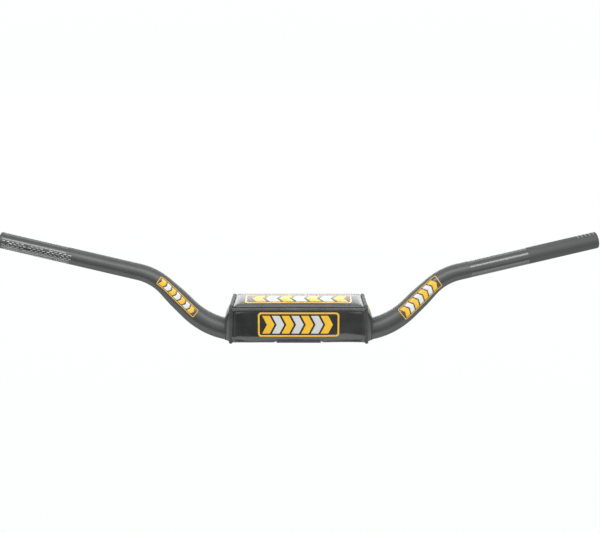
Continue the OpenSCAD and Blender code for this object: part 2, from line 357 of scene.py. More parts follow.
def vinyl(name, color, rough, grain=1.1, depth=0.02, coat=0.25, crease=0.03):
    """Coated cloth: leather grain, pores, soft creases and some dust."""
    g = Graph(name)
    g.constant(Specular_IOR_Level=0.55, Coat_Weight=coat, Coat_Roughness=0.12)
    leather = g.cells(grain, "DISTANCE_TO_EDGE")
    pores = g.noise(0.35, detail=2)
    broad = g.noise(22, detail=4)
    creases = g.noise(9, g.place((1, 1, 0.35)), detail=4, rough=0.6, distortion=0.6)
    dust = g.ramp(g.noise(3.5, detail=6, rough=0.7), 0.62, 0.78)
    base = g.mix(g.ramp(broad, 0.35, 0.65), scaled(color, 0.8), scaled(color, 1.25))
    base = g.mix(g.math("MULTIPLY", dust, 0.10), base, (0.16, 0.16, 0.155))
    roughness = g.ramp(g.blend(broad, 0.6, dust, 0.4), 0.2, 0.7, rough - 0.04, rough + 0.08)
    grained = g.bump(g.ramp(leather, 0.0, 0.12), depth, 0.5, g.bump(pores, 0.01, 0.4))
    normal = g.bump(creases, crease, 0.5, grained)
    return g.surface(base, roughness, normal)


def webbing(name, color, pitch=1.5):
    """A plain weave with fuzz, with painted shade where the yarns dip and painted light on their crowns."""
    g = Graph(name)
    g.constant(Specular_IOR_Level=0.3, Sheen_Weight=0.25, Sheen_Roughness=0.5)
    across = g.waves(pitch, g.place(), "X", 0.3)
    along = g.waves(pitch * 1.3, g.place(), "Y", 0.3)
    over = g.ramp(g.math("SUBTRACT", across, along), -0.25, 0.25)
    height = g.blend(across, over, along, g.math("SUBTRACT", 1.0, over))
    fibres = g.noise(0.25, g.place((1, 4, 4)), detail=3)
    fuzz = g.noise(6, detail=5, rough=0.7)
    # painted shade and light: the weave's low points go to 0.55 of the colour and its crowns to 1.2
    base = g.mix(g.ramp(height, 0.1, 0.9), scaled(color, 0.55), scaled(color, 1.2))
    base = g.mix(g.math("MULTIPLY", g.ramp(fuzz, 0.5, 0.8), 0.3), base, scaled(color, 1.9))
    roughness = g.ramp(fibres, 0.3, 0.7, 0.62, 0.85)
    normal = g.bump(height, 0.25, 0.8, g.bump(fibres, 0.04, 0.5))
    return g.surface(base, roughness, normal)


def foam_skin(name, color):
    """Cut foam, with open cells of two sizes, and painted shade in the pits of the cells."""
    g = Graph(name)
    g.constant(Specular_IOR_Level=0.2)
    bubbles = g.cells(0.9, feature="SMOOTH_F1")
    small = g.cells(0.4)
    broad = g.noise(25, detail=4)
    depth = g.blend(bubbles, 0.7, small, 0.3)
    base = g.mix(g.ramp(broad, 0.35, 0.65), scaled(color, 0.85), scaled(color, 1.15))
    # painted shade: the pits of the cells, where the bump is lowest, are darkened to 0.4 of the foam colour
    base = g.mix(g.ramp(depth, 0.25, 0.55), scaled(color, 0.4), base)
    return g.surface(base, g.ramp(small, 0.0, 0.6, 0.8, 0.97), g.bump(depth, 0.35, 0.8))


def tape(name, color, size, depth, sheen):
    """Hook tape or loop tape: a felt of loops, or a field of small hooks."""
    g = Graph(name)
    g.constant(Specular_IOR_Level=0.3, Sheen_Weight=sheen, Sheen_Roughness=0.4)
    tufts = g.cells(size, feature="SMOOTH_F1", randomness=0.6)
    hair = g.noise(0.22, g.place((3, 1, 1)), detail=5, rough=0.8, distortion=1.5)
    broad = g.noise(9, detail=4)
    height = g.blend(tufts, 0.5, hair, 0.5)
    base = g.mix(g.ramp(height, 0.2, 0.7), scaled(color, 1.35), scaled(color, 0.6))
    base = g.mix(g.math("MULTIPLY", broad, 0.25), base, scaled(color, 1.6))
    return g.surface(base, g.ramp(hair, 0.3, 0.7, 0.6, 0.9), g.bump(height, depth, 0.9))


def print_ink(name, color, rough=0.32):
    """Screen-printed film: nearly even, with a fine orange peel and rubbed spots."""
    g = Graph(name)
    g.constant(Specular_IOR_Level=0.5, Coat_Weight=0.2, Coat_Roughness=0.15)
    peel = g.noise(1.2, detail=3)
    broad = g.noise(16, detail=4)
    rubbed = g.ramp(g.noise(2.2, detail=6, rough=0.75), 0.68, 0.76)
    base = g.mix(g.ramp(broad, 0.35, 0.65), scaled(color, 0.94), scaled(color, 1.03))
    base = g.mix(g.math("MULTIPLY", rubbed, 0.25), base, scaled(color, 0.62))
    return g.surface(base, g.ramp(peel, 0.3, 0.7, rough - 0.05, rough + 0.07), g.bump(peel, 0.012, 0.5))


def thread(name, color):
    """Twisted sewing thread, with painted shade in the grooves of the twist and painted light on its crowns.
    """
    g = Graph(name)
    g.constant(Specular_IOR_Level=0.35, Sheen_Weight=0.2)
    twist = g.noise(0.3, g.place((1, 2.5, 2.5)), detail=3)
    broad = g.noise(12)
    # painted shade and light: the twist's grooves go to 0.6 of the colour and its crowns to 1.3
    base = g.mix(g.ramp(twist, 0.3, 0.7), scaled(color, 0.6), scaled(color, 1.3))
    base = g.mix(g.math("MULTIPLY", broad, 0.2), base, scaled(color, 1.6))
    return g.surface(base, g.ramp(twist, 0.3, 0.7, 0.5, 0.75), g.bump(twist, 0.06, 0.8))


ALU = (0.112, 0.117, 0.114)
M_ANODISED = anodised("anodised_tube", scaled(ALU, 0.9), 0.48)
M_KNURL_BASE = anodised("anodised_knurl_ground", ALU, 0.27)
M_CREST = anodised("bare_alloy_crest", (0.50, 0.50, 0.49), 0.30, metallic=0.9)
M_POLISHED = anodised("anodised_polished", scaled(ALU, 1.05), 0.26)
M_BLASTED = anodised("anodised_blasted", scaled(ALU, 0.95), 0.66, grain=0.5, grain_depth=0.03)
# the bore is a darker copy of the tube's anodising: painted shade inside the hollow tube
M_BORE = anodised("anodised_bore", scaled(ALU, 0.7), 0.5)
M_FILM = anodised("decal_film", scaled(ALU, 0.75), 0.25, metallic=0.3)
M_YELLOW = print_ink("print_yellow", (0.80, 0.455, 0.02))
M_WHITE = print_ink("print_white", (0.66, 0.66, 0.66))
M_GREY = print_ink("print_light_grey", (0.56, 0.56, 0.555))
M_COVER = vinyl("pad_vinyl_gloss", (0.026, 0.026, 0.027), 0.20, coat=0.5)
M_TOP = vinyl("pad_vinyl_top", (0.036, 0.036, 0.037), 0.26, coat=0.1, depth=0.012, crease=0.02)
M_END = vinyl("pad_vinyl_end", (0.036, 0.036, 0.037), 0.26, coat=0.4)
M_WELT = vinyl("welt_vinyl", (0.036, 0.036, 0.037), 0.52, grain=0.8, depth=0.03, coat=0.0)
M_PIPING = vinyl("piping_vinyl", (0.075, 0.075, 0.076), 0.30, grain=0.8, depth=0.02, coat=0.3)
M_FOAM = foam_skin("foam_cells", (0.055, 0.055, 0.058))
M_WEB = webbing("closure_webbing", (0.060, 0.060, 0.062))
M_LOOP = tape("loop_tape", (0.045, 0.045, 0.048), 0.5, 0.3, 0.6)
M_HOOK = tape("hook_tape", (0.022, 0.022, 0.024), 1.1, 0.35, 0.1)
M_THREAD = thread("thread_black", (0.040, 0.040, 0.042))

# ---------------------------------------------------------------- the tube's line

LEANED_UP = Vector((0, math.sin(SLOPE_LEAN), math.cos(SLOPE_LEAN)))
SLOPE_DIR = Vector((math.cos(SLOPE_ANGLE), 0, 0)) + LEANED_UP * math.sin(SLOPE_ANGLE)
GRIP_DIR = Vector((1, math.tan(BACK_SWEEP), math.tan(UP_SWEEP))).normalized()
OUTER_ANGLE = math.acos(GRIP_DIR.dot(SLOPE_DIR))
OUTER_SIDE = (GRIP_DIR - SLOPE_DIR * GRIP_DIR.dot(SLOPE_DIR)).normalized()
S_BEND = CLAMP_HALF
S_SLOPE = S_BEND + INNER_BEND_R * SLOPE_ANGLE
S_OUTER = S_SLOPE + SLOPE_LEN
S_GRIP = S_OUTER + OUTER_BEND_R * OUTER_ANGLE
S_END = S_GRIP + GRIP_LEN


def bend_point(start, ahead, side, radius, angle):
    """Place and direction at an angle into a bend."""
    place = start + radius * (math.sin(angle) * ahead + (1 - math.cos(angle)) * side)
    return place, math.cos(angle) * ahead + math.sin(angle) * side


def line_point(s):
    """Centre and direction of the tube at distance s from its middle, on the +X side."""
    if s < S_BEND:
        return Vector((s, 0, 0)), Vector((1, 0, 0))
    x_axis = Vector((1, 0, 0))
    start = Vector((CLAMP_HALF, 0, 0))
    if s < S_SLOPE:
        return bend_point(start, x_axis, LEANED_UP, INNER_BEND_R, (s - S_BEND) / INNER_BEND_R)
    start, ahead = bend_point(start, x_axis, LEANED_UP, INNER_BEND_R, SLOPE_ANGLE)
    if s < S_OUTER:
        return start + ahead * (s - S_SLOPE), ahead
    start = start + ahead * SLOPE_LEN
    if s < S_GRIP:
        return bend_point(start, ahead, OUTER_SIDE, OUTER_BEND_R, (s - S_OUTER) / OUTER_BEND_R)
    start, ahead = bend_point(start, ahead, OUTER_SIDE, OUTER_BEND_R, OUTER_ANGLE)
    return start + ahead * (s - S_GRIP), ahead


GRIP_R = 11.1
TABLE_END = 431
# distance from the tube's middle, and the outer radius there
TAPER_S = [0, 118, 152, 176, 197, 212, 238, TABLE_END]
TAPER_R = [14.3, 14.3, 13.55, 13.4, 11.8, 11.4, GRIP_R, GRIP_R]
BLEND = 14  # steps to each side over which the taper's corners are rounded
RADIUS_S = np.arange(0, TABLE_END, 0.5)
RADIUS = np.interp(RADIUS_S, TAPER_S, TAPER_R)
WINDOW = 2 * BLEND + 1
RADIUS = np.convolve(np.pad(RADIUS, BLEND, mode="edge"), np.ones(WINDOW) / WINDOW, mode="valid")
BORE_S = [0, S_SLOPE, S_SLOPE + 21, S_OUTER, TABLE_END]
BORE = [10.3, 10.3, 9.3, 7.0, 6.95]


def tube_point(s, angle, lift=0.0, radius=None):
    """A point on the tube at signed distance s; angle is 0 at the front and 90 degrees on top."""
    centre, ahead = line_point(abs(s))
    front = Vector((0, -1, 0))
    front = (front - ahead * front.dot(ahead)).normalized()
    up = front.cross(ahead)
    r = float(np.interp(abs(s), RADIUS_S, RADIUS)) if radius is None else radius
    point = centre + (front * math.cos(angle) + up * math.sin(angle)) * (r + lift)
    if s < 0:
        point.x = -point.x
    return point


# ---------------------------------------------------------------- the tube

LEFT_KNURL_START = -S_END + 5.0
LEFT_KNURL_END = -336.0
DASHES_END = -327.0
POLISHED_START = 252.0
POLISHED_END = 332.0
END_ROUND = 1.6
TUBE_SIDES = 128


SATIN, KNURLED, POLISHED, BLASTED, BORED = range(5)


def finish_at(s):
    """The tube's outer finish at a signed distance from its middle."""
    if LEFT_KNURL_START < s < LEFT_KNURL_END:
        return KNURLED
    if POLISHED_START < s < POLISHED_END:
        return POLISHED
    return BLASTED if s > POLISHED_END else SATIN


def build_tube():
    """The tube as one closed skin: along the outside to the right, and back through the bore."""
    straight_end = S_END - END_ROUND
    stations = list(np.arange(-straight_end, straight_end + 0.01, 1.5))
    stations += [LEFT_KNURL_START, LEFT_KNURL_END, POLISHED_START, POLISHED_END, straight_end]
    stations = sorted(set(round(float(s), 3) for s in stations))
    steps = 5
    turns = [math.pi / 2 * k / steps for k in range(steps)]
    lips = [(S_END - END_ROUND * (1 - math.sin(a)), -END_ROUND * (1 - math.cos(a))) for a in turns]
    inmost = -END_ROUND - 0.6
    rings = [(-S_END, inmost)] + [(-s, lift) for s, lift in lips] + [(s, 0.0) for s in stations]
    rings += lips[::-1] + [(S_END, inmost)]
    verts, uvs = [], []
    for s, lift in rings:
        for k in range(TUBE_SIDES):
            a = 2 * math.pi * k / TUBE_SIDES
            verts.append(tube_point(s, a, lift))
            uvs.append((s * MM, a * GRIP_R * MM))
    flare, mouth, bore_step = 0.9, 1.0, 4.0
    bore_stations = list(np.arange(S_END - mouth, -S_END + mouth - 0.01, -bore_step))
    bore_rings = [(S_END, flare)] + [(s, 0.0) for s in bore_stations]
    bore_rings += [(-S_END + mouth, 0.0), (-S_END, flare)]
    for s, wider in bore_rings:
        r = float(np.interp(abs(s), BORE_S, BORE)) + wider
        for k in range(TUBE_SIDES):
            a = 2 * math.pi * k / TUBE_SIDES
            verts.append(tube_point(s, a, 0.0, r))
            uvs.append((s * MM, a * 7 * MM))
    outside = len(rings)
    total = outside + len(bore_rings)
    faces, slots = [], []
    for i in range(total):
        j = (i + 1) % total
        if i < outside - 1:
            slot = finish_at((rings[i][0] + rings[i + 1][0]) / 2)
        else:
            slot = SATIN if i in (outside - 1, total - 1) else BORED
        for k in range(TUBE_SIDES):
            m = (k + 1) % TUBE_SIDES
            faces.append([i * TUBE_SIDES + k, j * TUBE_SIDES + k, j * TUBE_SIDES + m, i * TUBE_SIDES + m])
            slots.append(slot)
    tube = mesh_object("tube_anodised", verts, faces)
    for material in (M_ANODISED, M_KNURL_BASE, M_POLISHED, M_BLASTED, M_BORE):
        tube.data.materials.append(material)
    tube.data.polygons.foreach_set("material_index", slots)
    add_uv(tube, uvs)
    outward(tube)
    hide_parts("bar_tube")
    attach(tube, "bar")


def ridge(parts, s, angle, length, width, height):
    """A low crest on the tube, running along it."""
    r = float(np.interp(abs(s), RADIUS_S, RADIUS))
    half = width / 2 / r
    ends = [(-length / 2, 0.0), (-length * 0.36, 1.0), (length * 0.36, 1.0), (length / 2, 0.0)]
    verts = []
    for along, rise in ends:
        for side, lift in ((-1, -0.05), (-0.45, rise), (0.45, rise), (1, -0.05)):
            level = -0.05 if lift < 0 else height * rise - 0.05 * (1 - rise)
            verts.append(tube_point(s + along, angle + side * half, level))
    faces = [[i * 4 + k, i * 4 + k + 1, i * 4 + k + 5, i * 4 + k + 4] for i in range(3) for k in range(3)]
    parts.add(verts, faces)


def build_knurl():
    """Staggered rows of short crests, cut into the front and the underside of the left grip's end."""
    parts = Parts()
    rows = 18
    pitch = 6.6
    start = LEFT_KNURL_START + 2.5
    for row in range(rows):
        angle = math.radians(20 - 12.4 * row)
        s = start + (row % 2) * pitch / 2 + RNG.uniform(-0.4, 0.4)
        while s < DASHES_END - 1.0 - 5 * abs(math.sin(row * 1.7)):
            if RNG.random() > 0.08:
                ridge(parts, s, angle, RNG.uniform(4.0, 5.8), RNG.uniform(0.75, 1.1), RNG.uniform(0.10, 0.16))
            s += pitch
    knurl = parts.build("grip_knurl_left", M_CREST)
    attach(knurl, "bar")


def build_cut_marks():
    """Short etched rings near the right end, as guides for cutting the bar down."""
    parts = Parts()
    for s in (404.0, 409.3, 414.6, 419.9, 425.2):
        verts, faces = [], []
        steps = 28
        for i in range(steps + 1):
            angle = math.radians(62 + 66 * i / steps)
            for along, lift in ((-0.32, -0.03), (-0.24, 0.03), (0.24, 0.03), (0.32, -0.03)):
                verts.append(tube_point(s + along, angle, lift))
        for i in range(steps):
            for k in range(3):
                faces.append([i * 4 + k, i * 4 + k + 1, i * 4 + k + 5, i * 4 + k + 4])
        parts.add(verts, faces)
    marks = parts.build("grip_cut_marks", M_CREST)
    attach(marks, "bar")


# ---------------------------------------------------------------- flat artwork, carried onto surfaces


def outline_ring(corners, line, corner_r, steps=7):
    """A band along a rounded polygon: outer loop and inner loop of the same length."""

    def rounded_loop(points, radius):
        loop = []
        n = len(points)
        for i in range(n):
            p = Vector(points[i])
            a = (Vector(points[i - 1]) - p).normalized()
            b = (Vector(points[(i + 1) % n]) - p).normalized()
            half = math.acos(max(-1, min(1, a.dot(b)))) / 2
            reach = radius / math.tan(half)
            centre = p + (a + b).normalized() * (radius / math.sin(half))
            start, end = p + a * reach - centre, p + b * reach - centre
            a0, a1 = math.atan2(start.y, start.x), math.atan2(end.y, end.x)
            turn = (a1 - a0 + math.pi) % (2 * math.pi) - math.pi
            for k in range(steps + 1):
                ang = a0 + turn * k / steps
                loop.append(centre + Vector((math.cos(ang), math.sin(ang))) * radius)
        return loop

    def inset(points, distance):
        n = len(points)
        moved = []
        for i in range(n):
            p = Vector(points[i])
            a = (Vector(points[i - 1]) - p).normalized()
            b = (Vector(points[(i + 1) % n]) - p).normalized()
            half = math.acos(max(-1, min(1, a.dot(b)))) / 2
            moved.append(p + (a + b).normalized() * (distance / math.sin(half)))
        return moved

    outer = rounded_loop(corners, corner_r)
    inner = rounded_loop(inset(corners, line), max(corner_r - line * 0.7, 0.3))
    n = len(outer)
    return [[outer[i], outer[(i + 1) % n], inner[(i + 1) % n], inner[i]] for i in range(n)]


def arrow(u, v0, v1, width, lean):
    """A chevron that points along +u."""
    mid = (v0 + v1) / 2
    tip = u + lean * (v1 - v0) / 2
    lower = ((u, v0), (u + width, v0), (tip + width, mid), (tip, mid))
    upper = ((tip, mid), (tip + width, mid), (u + width, v1), (u, v1))
    return [[Vector(p) for p in lower], [Vector(p) for p in upper]]


def block(w, h):
    """A rectangle round the origin."""
    return [Vector((x * w / 2, y * h / 2)) for x, y in ((-1, -1), (1, -1), (1, 1), (-1, 1))]


def frame_art(w, h, line, corner_r):
    """A plain badge, by colour: a rounded rectangle round a row of chevrons in alternating colours."""
    art = {"yellow": outline_ring(block(w, h), line, corner_r), "pale": []}
    high = h / 2 - 2 * line
    end = w / 2 - 2.4 * line
    start = -end
    count, lean = 7, 0.5
    pitch = (end - start - lean * high) / count
    for i in range(count):
        shapes = arrow(start + i * pitch, -high, high, pitch * 0.78, lean)
        art["pale" if i % 2 else "yellow"].extend(shapes)
    return art


def cut_up(polygons, step):
    """A mesh of the polygons, cut along a grid so that it can bend."""
    bm = bmesh.new()
    for polygon in polygons:
        bm.faces.new([bm.verts.new((p[0], p[1], 0)) for p in polygon])
    bmesh.ops.remove_doubles(bm, verts=bm.verts, dist=0.01)
    us = [v.co.x for v in bm.verts]
    vs = [v.co.y for v in bm.verts]
    for normal, low, high in ((Vector((1, 0, 0)), min(us), max(us)), (Vector((0, 1, 0)), min(vs), max(vs))):
        at = math.ceil(low / step) * step
        while at < high:
            geometry = list(bm.verts) + list(bm.edges) + list(bm.faces)
            bmesh.ops.bisect_plane(bm, geom=geometry, plane_co=normal * at, plane_no=normal, dist=0.002)
            at += step
    bmesh.ops.triangulate(bm, faces=bm.faces)
    return bm


def art_piece(name, polygons, carry, material, step=2.0, low=0.02, high=0.14):
    """A thin film of the polygons on a surface. carry(u, v, lift) gives the place, in millimetres."""
    bm = cut_up(polygons, step)
    bm.verts.ensure_lookup_table()
    flat = [(v.co.x, v.co.y) for v in bm.verts]
    rim = [e for e in bm.edges if len(e.link_faces) == 1]
    verts = [carry(u, v, high) for u, v in flat]
    faces = [[v.index for v in f.verts] for f in bm.faces]
    below = {}
    for e in rim:
        for v in e.verts:
            if v.index not in below:
                below[v.index] = len(verts)
                verts.append(carry(flat[v.index][0], flat[v.index][1], low))
    for e in rim:
        a, b = e.verts[0].index, e.verts[1].index
        faces.append([a, b, below[b], below[a]])
    bm.free()
    piece = mesh_object(name, verts, faces, material, smooth_faces=False)
    top = len(faces) - len(rim)
    piece.data.polygons.foreach_set("use_smooth", [i < top for i in range(len(piece.data.polygons))])
    return outward(piece)


def on_tube(sign, s0, angle0):
    """Carries artwork onto the tube: u runs towards +X, v round it upwards."""

    def carry(u, v, lift):
        s = sign * s0 + u
        r = float(np.interp(abs(s), RADIUS_S, RADIUS))
        return tube_point(s, angle0 + v / r, lift)

    return carry


def build_tube_decal(side, sign, angle, height, film_slot):
    """A plain sticker on one slope of the tube: a dark film with a printed frame and chevrons."""
    width, line, middle = 66.0, 0.95, 175.5
    carry = on_tube(sign, middle, math.radians(angle))
    art = frame_art(width, height, line, 1.6)
    film = [block(width - 1.2 * line, height - 1.2 * line)]
    backing = art_piece(f"decal_film_{side}", film, carry, M_FILM, low=-0.02, high=0.05)
    yellow = art_piece(f"decal_{side}_yellow", art["yellow"], carry, M_YELLOW, low=0.03, high=0.12)
    white = art_piece(f"decal_{side}_white", art["pale"], carry, M_WHITE, low=0.03, high=0.12)
    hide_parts(f"tube_decal_{side}")
    for piece, slot in ((backing, film_slot), (yellow, "decal_yellow"), (white, "decal_white")):
        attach(piece, "bar")


def build_tube_decals():
    build_tube_decal("right", 1, 17, 18.6, "decal_yellow")
    build_tube_decal("left", -1, 23, 12.4, "decal_white")


# ---------------------------------------------------------------- the pad's soft panels


def narrowed(p):
    """The pad is a little narrower at the top, and most of all at the top rear."""
    back = np.clip((p[1] - PAD_FRONT) / (PAD_REAR - PAD_FRONT), 0, 1)
    high = np.clip(p[2] / PAD_TOP, 0, 1)
    return Vector((p[0] * (1 - NARROW_UP * high - NARROW_BACK * back * high), p[1], p[2]))


def lower_edge(x):
    """Height of an upright panel's lower edge: it steps up over the flap's hem."""
    inside = smooth((FLAP_HALF + 1.2 - abs(x)) / 1.2)
    return PAD_BOTTOM + 2.9 * inside


def fold_depth(x, z, sign):
    """How far the lower part of an upright panel, and the foam under it, folds inwards."""
    wave = 1.5 * noise.noise(Vector((x / 26.0, 3.0 + sign, 0)))
    start = 2.0 + wave + 4.5 * math.exp(-(((x - 62) / 20) ** 2))
    return FOLD_SLOPE * FOLD_SOFT * math.log1p(math.exp((start - z) / FOLD_SOFT))


def upright(face, sign):
    def place(a, b):
        x = -PANEL_HALF + 2 * PANEL_HALF * a
        high = PAD_TOP - 3.9
        z = high + (lower_edge(x) - high) * b
        tuck_ends = 0.9 * smooth((abs(x) - PANEL_HALF + 3.0) / 3.0)
        tuck_low = fold_depth(x, z, sign)
        tuck_high = 0.3 * smooth((z - high + 1.2) / 1.2)
        crown = 0.35 * math.sin(math.pi * b) * math.sin(math.pi * a)
        return (x, face + sign * (crown - tuck_ends - tuck_low - tuck_high), z)

    return place


def top_place(a, b):
    x = -PANEL_HALF + 2 * PANEL_HALF * a
    front, rear = PAD_FRONT + 0.6, PAD_REAR - 0.6
    y = front + (rear - front) * b
    tuck = 0.9 * smooth((abs(x) - PANEL_HALF + 3.5) / 3.5)
    near_edge = min(y - front, rear - y)
    tuck += 0.5 * smooth((1.6 - near_edge) / 1.6)
    crown = 1.1 * math.sin(math.pi * b) * math.sin(math.pi * a)
    return (x, y, PAD_TOP + crown - tuck)


END_OUT_FRONT, END_OUT_REAR, END_OUT_TOP = -24.1, 21.6, 40.4


def u_loop(t, front, rear, top, bottom, radius):
    """A point on an upside-down U from its front foot, t = 0, to its rear foot, t = 1."""
    straight_f = top - radius - bottom
    arc = math.pi / 2 * radius
    across = rear - front - 2 * radius
    total = 2 * straight_f + 2 * arc + across
    d = t * total
    if d < straight_f:
        return front, bottom + d
    d -= straight_f
    if d < arc:
        a = d / radius
        return front + radius * (1 - math.cos(a)), top - radius + radius * math.sin(a)
    d -= arc
    if d < across:
        return front + radius + d, top
    d -= across
    if d < arc:
        a = d / radius
        return rear - radius + radius * math.sin(a), top - radius + radius * math.cos(a)
    d -= arc
    return rear, top - radius - d


def end_dome(y, z):
    middle = (END_OUT_FRONT + END_OUT_REAR) / 2
    half = (END_OUT_REAR - END_OUT_FRONT) / 2
    plan = 1 - abs((y - middle) / half) ** 2.6
    rise = 1 - (max(z, 0) / END_OUT_TOP) ** 3
    return END_RISE * max(plan, 0) ** 0.8 * max(rise, 0) ** 0.8


def end_place(side):
    def place(a, b):
        outer = u_loop(a, END_OUT_FRONT, END_OUT_REAR, END_OUT_TOP, PAD_BOTTOM, 2.5)
        inner = u_loop(a, -SLOT_R - 0.9, SLOT_R + 0.9, SLOT_Z + SLOT_R + 0.9, PAD_BOTTOM, SLOT_R + 0.85)
        y = outer[0] + (inner[0] - outer[0]) * b
        z = outer[1] + (inner[1] - outer[1]) * b
        return (side * (END_X + end_dome(y, z)), y, z)

    return place


class Panel:
    """A sheet over the foam: a grid of points on its face, which the cloth simulation then fills out."""

    def __init__(self, name, place, nu, nv, normal_sign, nodes, material, slot):
        self.name, self.nodes, self.material, self.slot = name, nodes, material, slot
        self.nu, self.nv = nu, nv
        self.normal_sign = normal_sign
        grid = [[place(i / (nu - 1), j / (nv - 1)) for j in range(nv)] for i in range(nu)]
        self.base = np.array(grid, float)
        self.shift = np.zeros_like(self.base)

    def normals(self, points):
        du = np.gradient(points, axis=0)
        dv = np.gradient(points, axis=1)
        n = np.cross(du, dv) * self.normal_sign
        return n / np.maximum(np.linalg.norm(n, axis=2, keepdims=True), 1e-9)


PANELS = [
    Panel("pad_cover_front", upright(PAD_FRONT, -1), 73, 21, 1, ["cover_front"], M_COVER, "pad_vinyl"),
    Panel("pad_cover_rear", upright(PAD_REAR, 1), 73, 21, -1, ["cover_rear"], M_COVER, "pad_vinyl"),
    Panel("pad_cover_top", top_place, 73, 23, 1, ["cover_top"], M_TOP, "pad_vinyl"),
    Panel("pad_end_right", end_place(1), 57, 9, -1, ["end_panel_right"], M_END, "pad_vinyl"),
    Panel("pad_end_left", end_place(-1), 57, 9, 1, ["end_panel_left"], M_END, "pad_vinyl"),
]
SIM_SCALE = 0.01  # the cloth is simulated ten times as large, where its defaults work
SIM_FRAMES = 20
MOST_OUT = 1.1  # how far the foam may push a panel out
MOST_ALONG = 0.5


def simulate_panels():
    """Fills the panels out with the cloth simulation: sewn at their edges, pushed out by the foam."""
    verts, faces, pins, spans = [], [], {}, []
    for panel in PANELS:
        base = len(verts)
        nu, nv = panel.nu, panel.nv
        for i in range(nu):
            for j in range(nv):
                verts.append(panel.base[i, j])
                edge = min(i, j, nu - 1 - i, nv - 1 - j)
                if edge < 2:
                    pins[base + i * nv + j] = (1.0, 0.45)[edge]
        for i in range(nu - 1):
            for j in range(nv - 1):
                a, b = base + i * nv + j, base + (i + 1) * nv + j
                quad = [a, b, b + 1, a + 1]
                faces.append(quad if panel.normal_sign > 0 else quad[::-1])
        spans.append((base, len(verts)))
    mesh = bpy.data.meshes.new("sim")
    mesh.from_pydata([tuple(v * SIM_SCALE) for v in verts], [], faces)
    obj = bpy.data.objects.new("sim", mesh)
    bpy.context.scene.collection.objects.link(obj)
    group = obj.vertex_groups.new(name="pin")
    for index, weight in pins.items():
        group.add([index], weight, "REPLACE")
    modifier = obj.modifiers.new("Cloth", "CLOTH")
    settings = modifier.settings
    settings.quality = 7
    settings.mass = 0.4
    settings.tension_stiffness = 25
    settings.compression_stiffness = 25
    settings.shear_stiffness = 8
    settings.bending_stiffness = 1.2
    settings.vertex_group_mass = "pin"
    settings.shrink_min = -0.006
    settings.use_pressure = True
    settings.uniform_pressure_force = 4.0
    settings.effector_weights.gravity = 0
    modifier.collision_settings.use_collision = False
    scene = bpy.context.scene
    for f in range(1, SIM_FRAMES + 1):
        scene.frame_set(f)
    moved = evaluated_points(obj) / SIM_SCALE
    scene.frame_set(1)
    for panel, (a, b) in zip(PANELS, spans):
        shift = (moved[a:b] - np.array(verts[a:b])).reshape(panel.nu, panel.nv, 3)
        n = panel.normals(panel.base)
        out = (shift * n).sum(axis=2, keepdims=True)
        along = shift - out * n
        size = np.maximum(np.linalg.norm(along, axis=2, keepdims=True), 1e-9)
        panel.shift = n * (MOST_OUT * np.tanh(np.clip(out, -0.4, None) / MOST_OUT))
        panel.shift = panel.shift + along * np.minimum(1, MOST_ALONG / size)
    bpy.data.objects.remove(obj)


def build_panel(panel):
    """The closed sheet: an outer face with fine puckers along its seams, an inner face and its rim."""
    nu, nv = panel.nu, panel.nv
    points = panel.base + panel.shift
    n = panel.normals(panel.base)
    for i in range(nu):
        for j in range(nv):
            edge = min(i, nu - 1 - i) * 2.4, min(j, nv - 1 - j) * 2.3
            near = min(edge)
            fade = smooth((11.0 - near) / 9.0) * smooth(near / 2.5)
            p = panel.base[i, j]
            along = p[2] if edge[0] < edge[1] else p[0]
            ripple = noise.noise(Vector((along / 5.5, near / 26.0, p[1] / 30.0)))
            wide = noise.noise(Vector((p[0] / 24.0, p[1] / 24.0, p[2] / 15.0 + 7.0)))
            points[i, j] += n[i, j] * (0.22 * fade * ripple + 0.12 * smooth(near / 8.0) * wide)
    inner = points - n * COVER_T
    verts = [narrowed(p) for p in points.reshape(-1, 3)] + [narrowed(p) for p in inner.reshape(-1, 3)]
    obj = outward(mesh_object(panel.name, verts, double_sheet(nu, nv), panel.material))
    refine(obj, 1)
    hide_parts(*panel.nodes)
    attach(obj, "pad")
    return obj


# ---------------------------------------------------------------- welts, piping, binding, stitches


def wavered(points, amount, size, seed):
    """Hand-sewn lines are never quite straight."""
    out = []
    for p in points:
        q = Vector(p)
        s = q / size
        out.append(q + Vector((
            noise.noise(s + Vector((seed, 0, 0))),
            noise.noise(s + Vector((0, seed, 0))),
            noise.noise(s + Vector((0, 0, seed))),
        )) * amount)
    return out


def build_welt(side):
    y0, y1, top = -26.1, 23.6, 42.6
    path = []
    steps = 130
    for k in range(steps + 1):
        y, z = u_loop(k / steps, y0, y1, top, PAD_BOTTOM - 0.1, 4.0)
        path.append(narrowed((side * WELT_X, y, z)))
    path = wavered(path, 0.16, 14.0, 3.0 + side)
    points, radii = rounded_ends(path, WELT_R, 3)
    radii = [r * (1 + 0.035 * noise.noise(p / 6.0)) for p, r in zip(points, radii)]
    name = "right" if side > 0 else "left"
    verts, faces = tube_shape(points, radii, 20)
    welt = outward(mesh_object("pad_welt_" + name, verts, faces, M_WELT))
    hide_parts("welt_" + name)
    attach(welt, "pad")
    # the flat allowance of the welt's skin, sewn into the seam on the panel side
    parts = Parts()
    lip = []
    for p in path:
        lower = 0.35 if p.z > 40 else 0
        lip.append(narrowed((side * (WELT_X - 2.1), p.y * 0.985 - 0.15, p.z - lower)))
    verts, faces = tube_shape(lip, 0.75, 10)
    parts.add(verts, faces)
    allowance = outward(parts.build("pad_welt_seam_" + name, M_WELT))
    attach(allowance, "pad")


def build_piping(name, y, node):
    path = [narrowed((x, y, PAD_TOP - 3.0)) for x in np.linspace(-PANEL_HALF + 0.4, PANEL_HALF - 0.4, 120)]
    path = wavered(path, 0.14, 16.0, 9.0)
    points, radii = rounded_ends(path, 1.25, 3)
    verts, faces = tube_shape(points, radii, 16)
    piping = outward(mesh_object(name, verts, faces, M_PIPING))
    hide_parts(node)
    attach(piping, "pad")


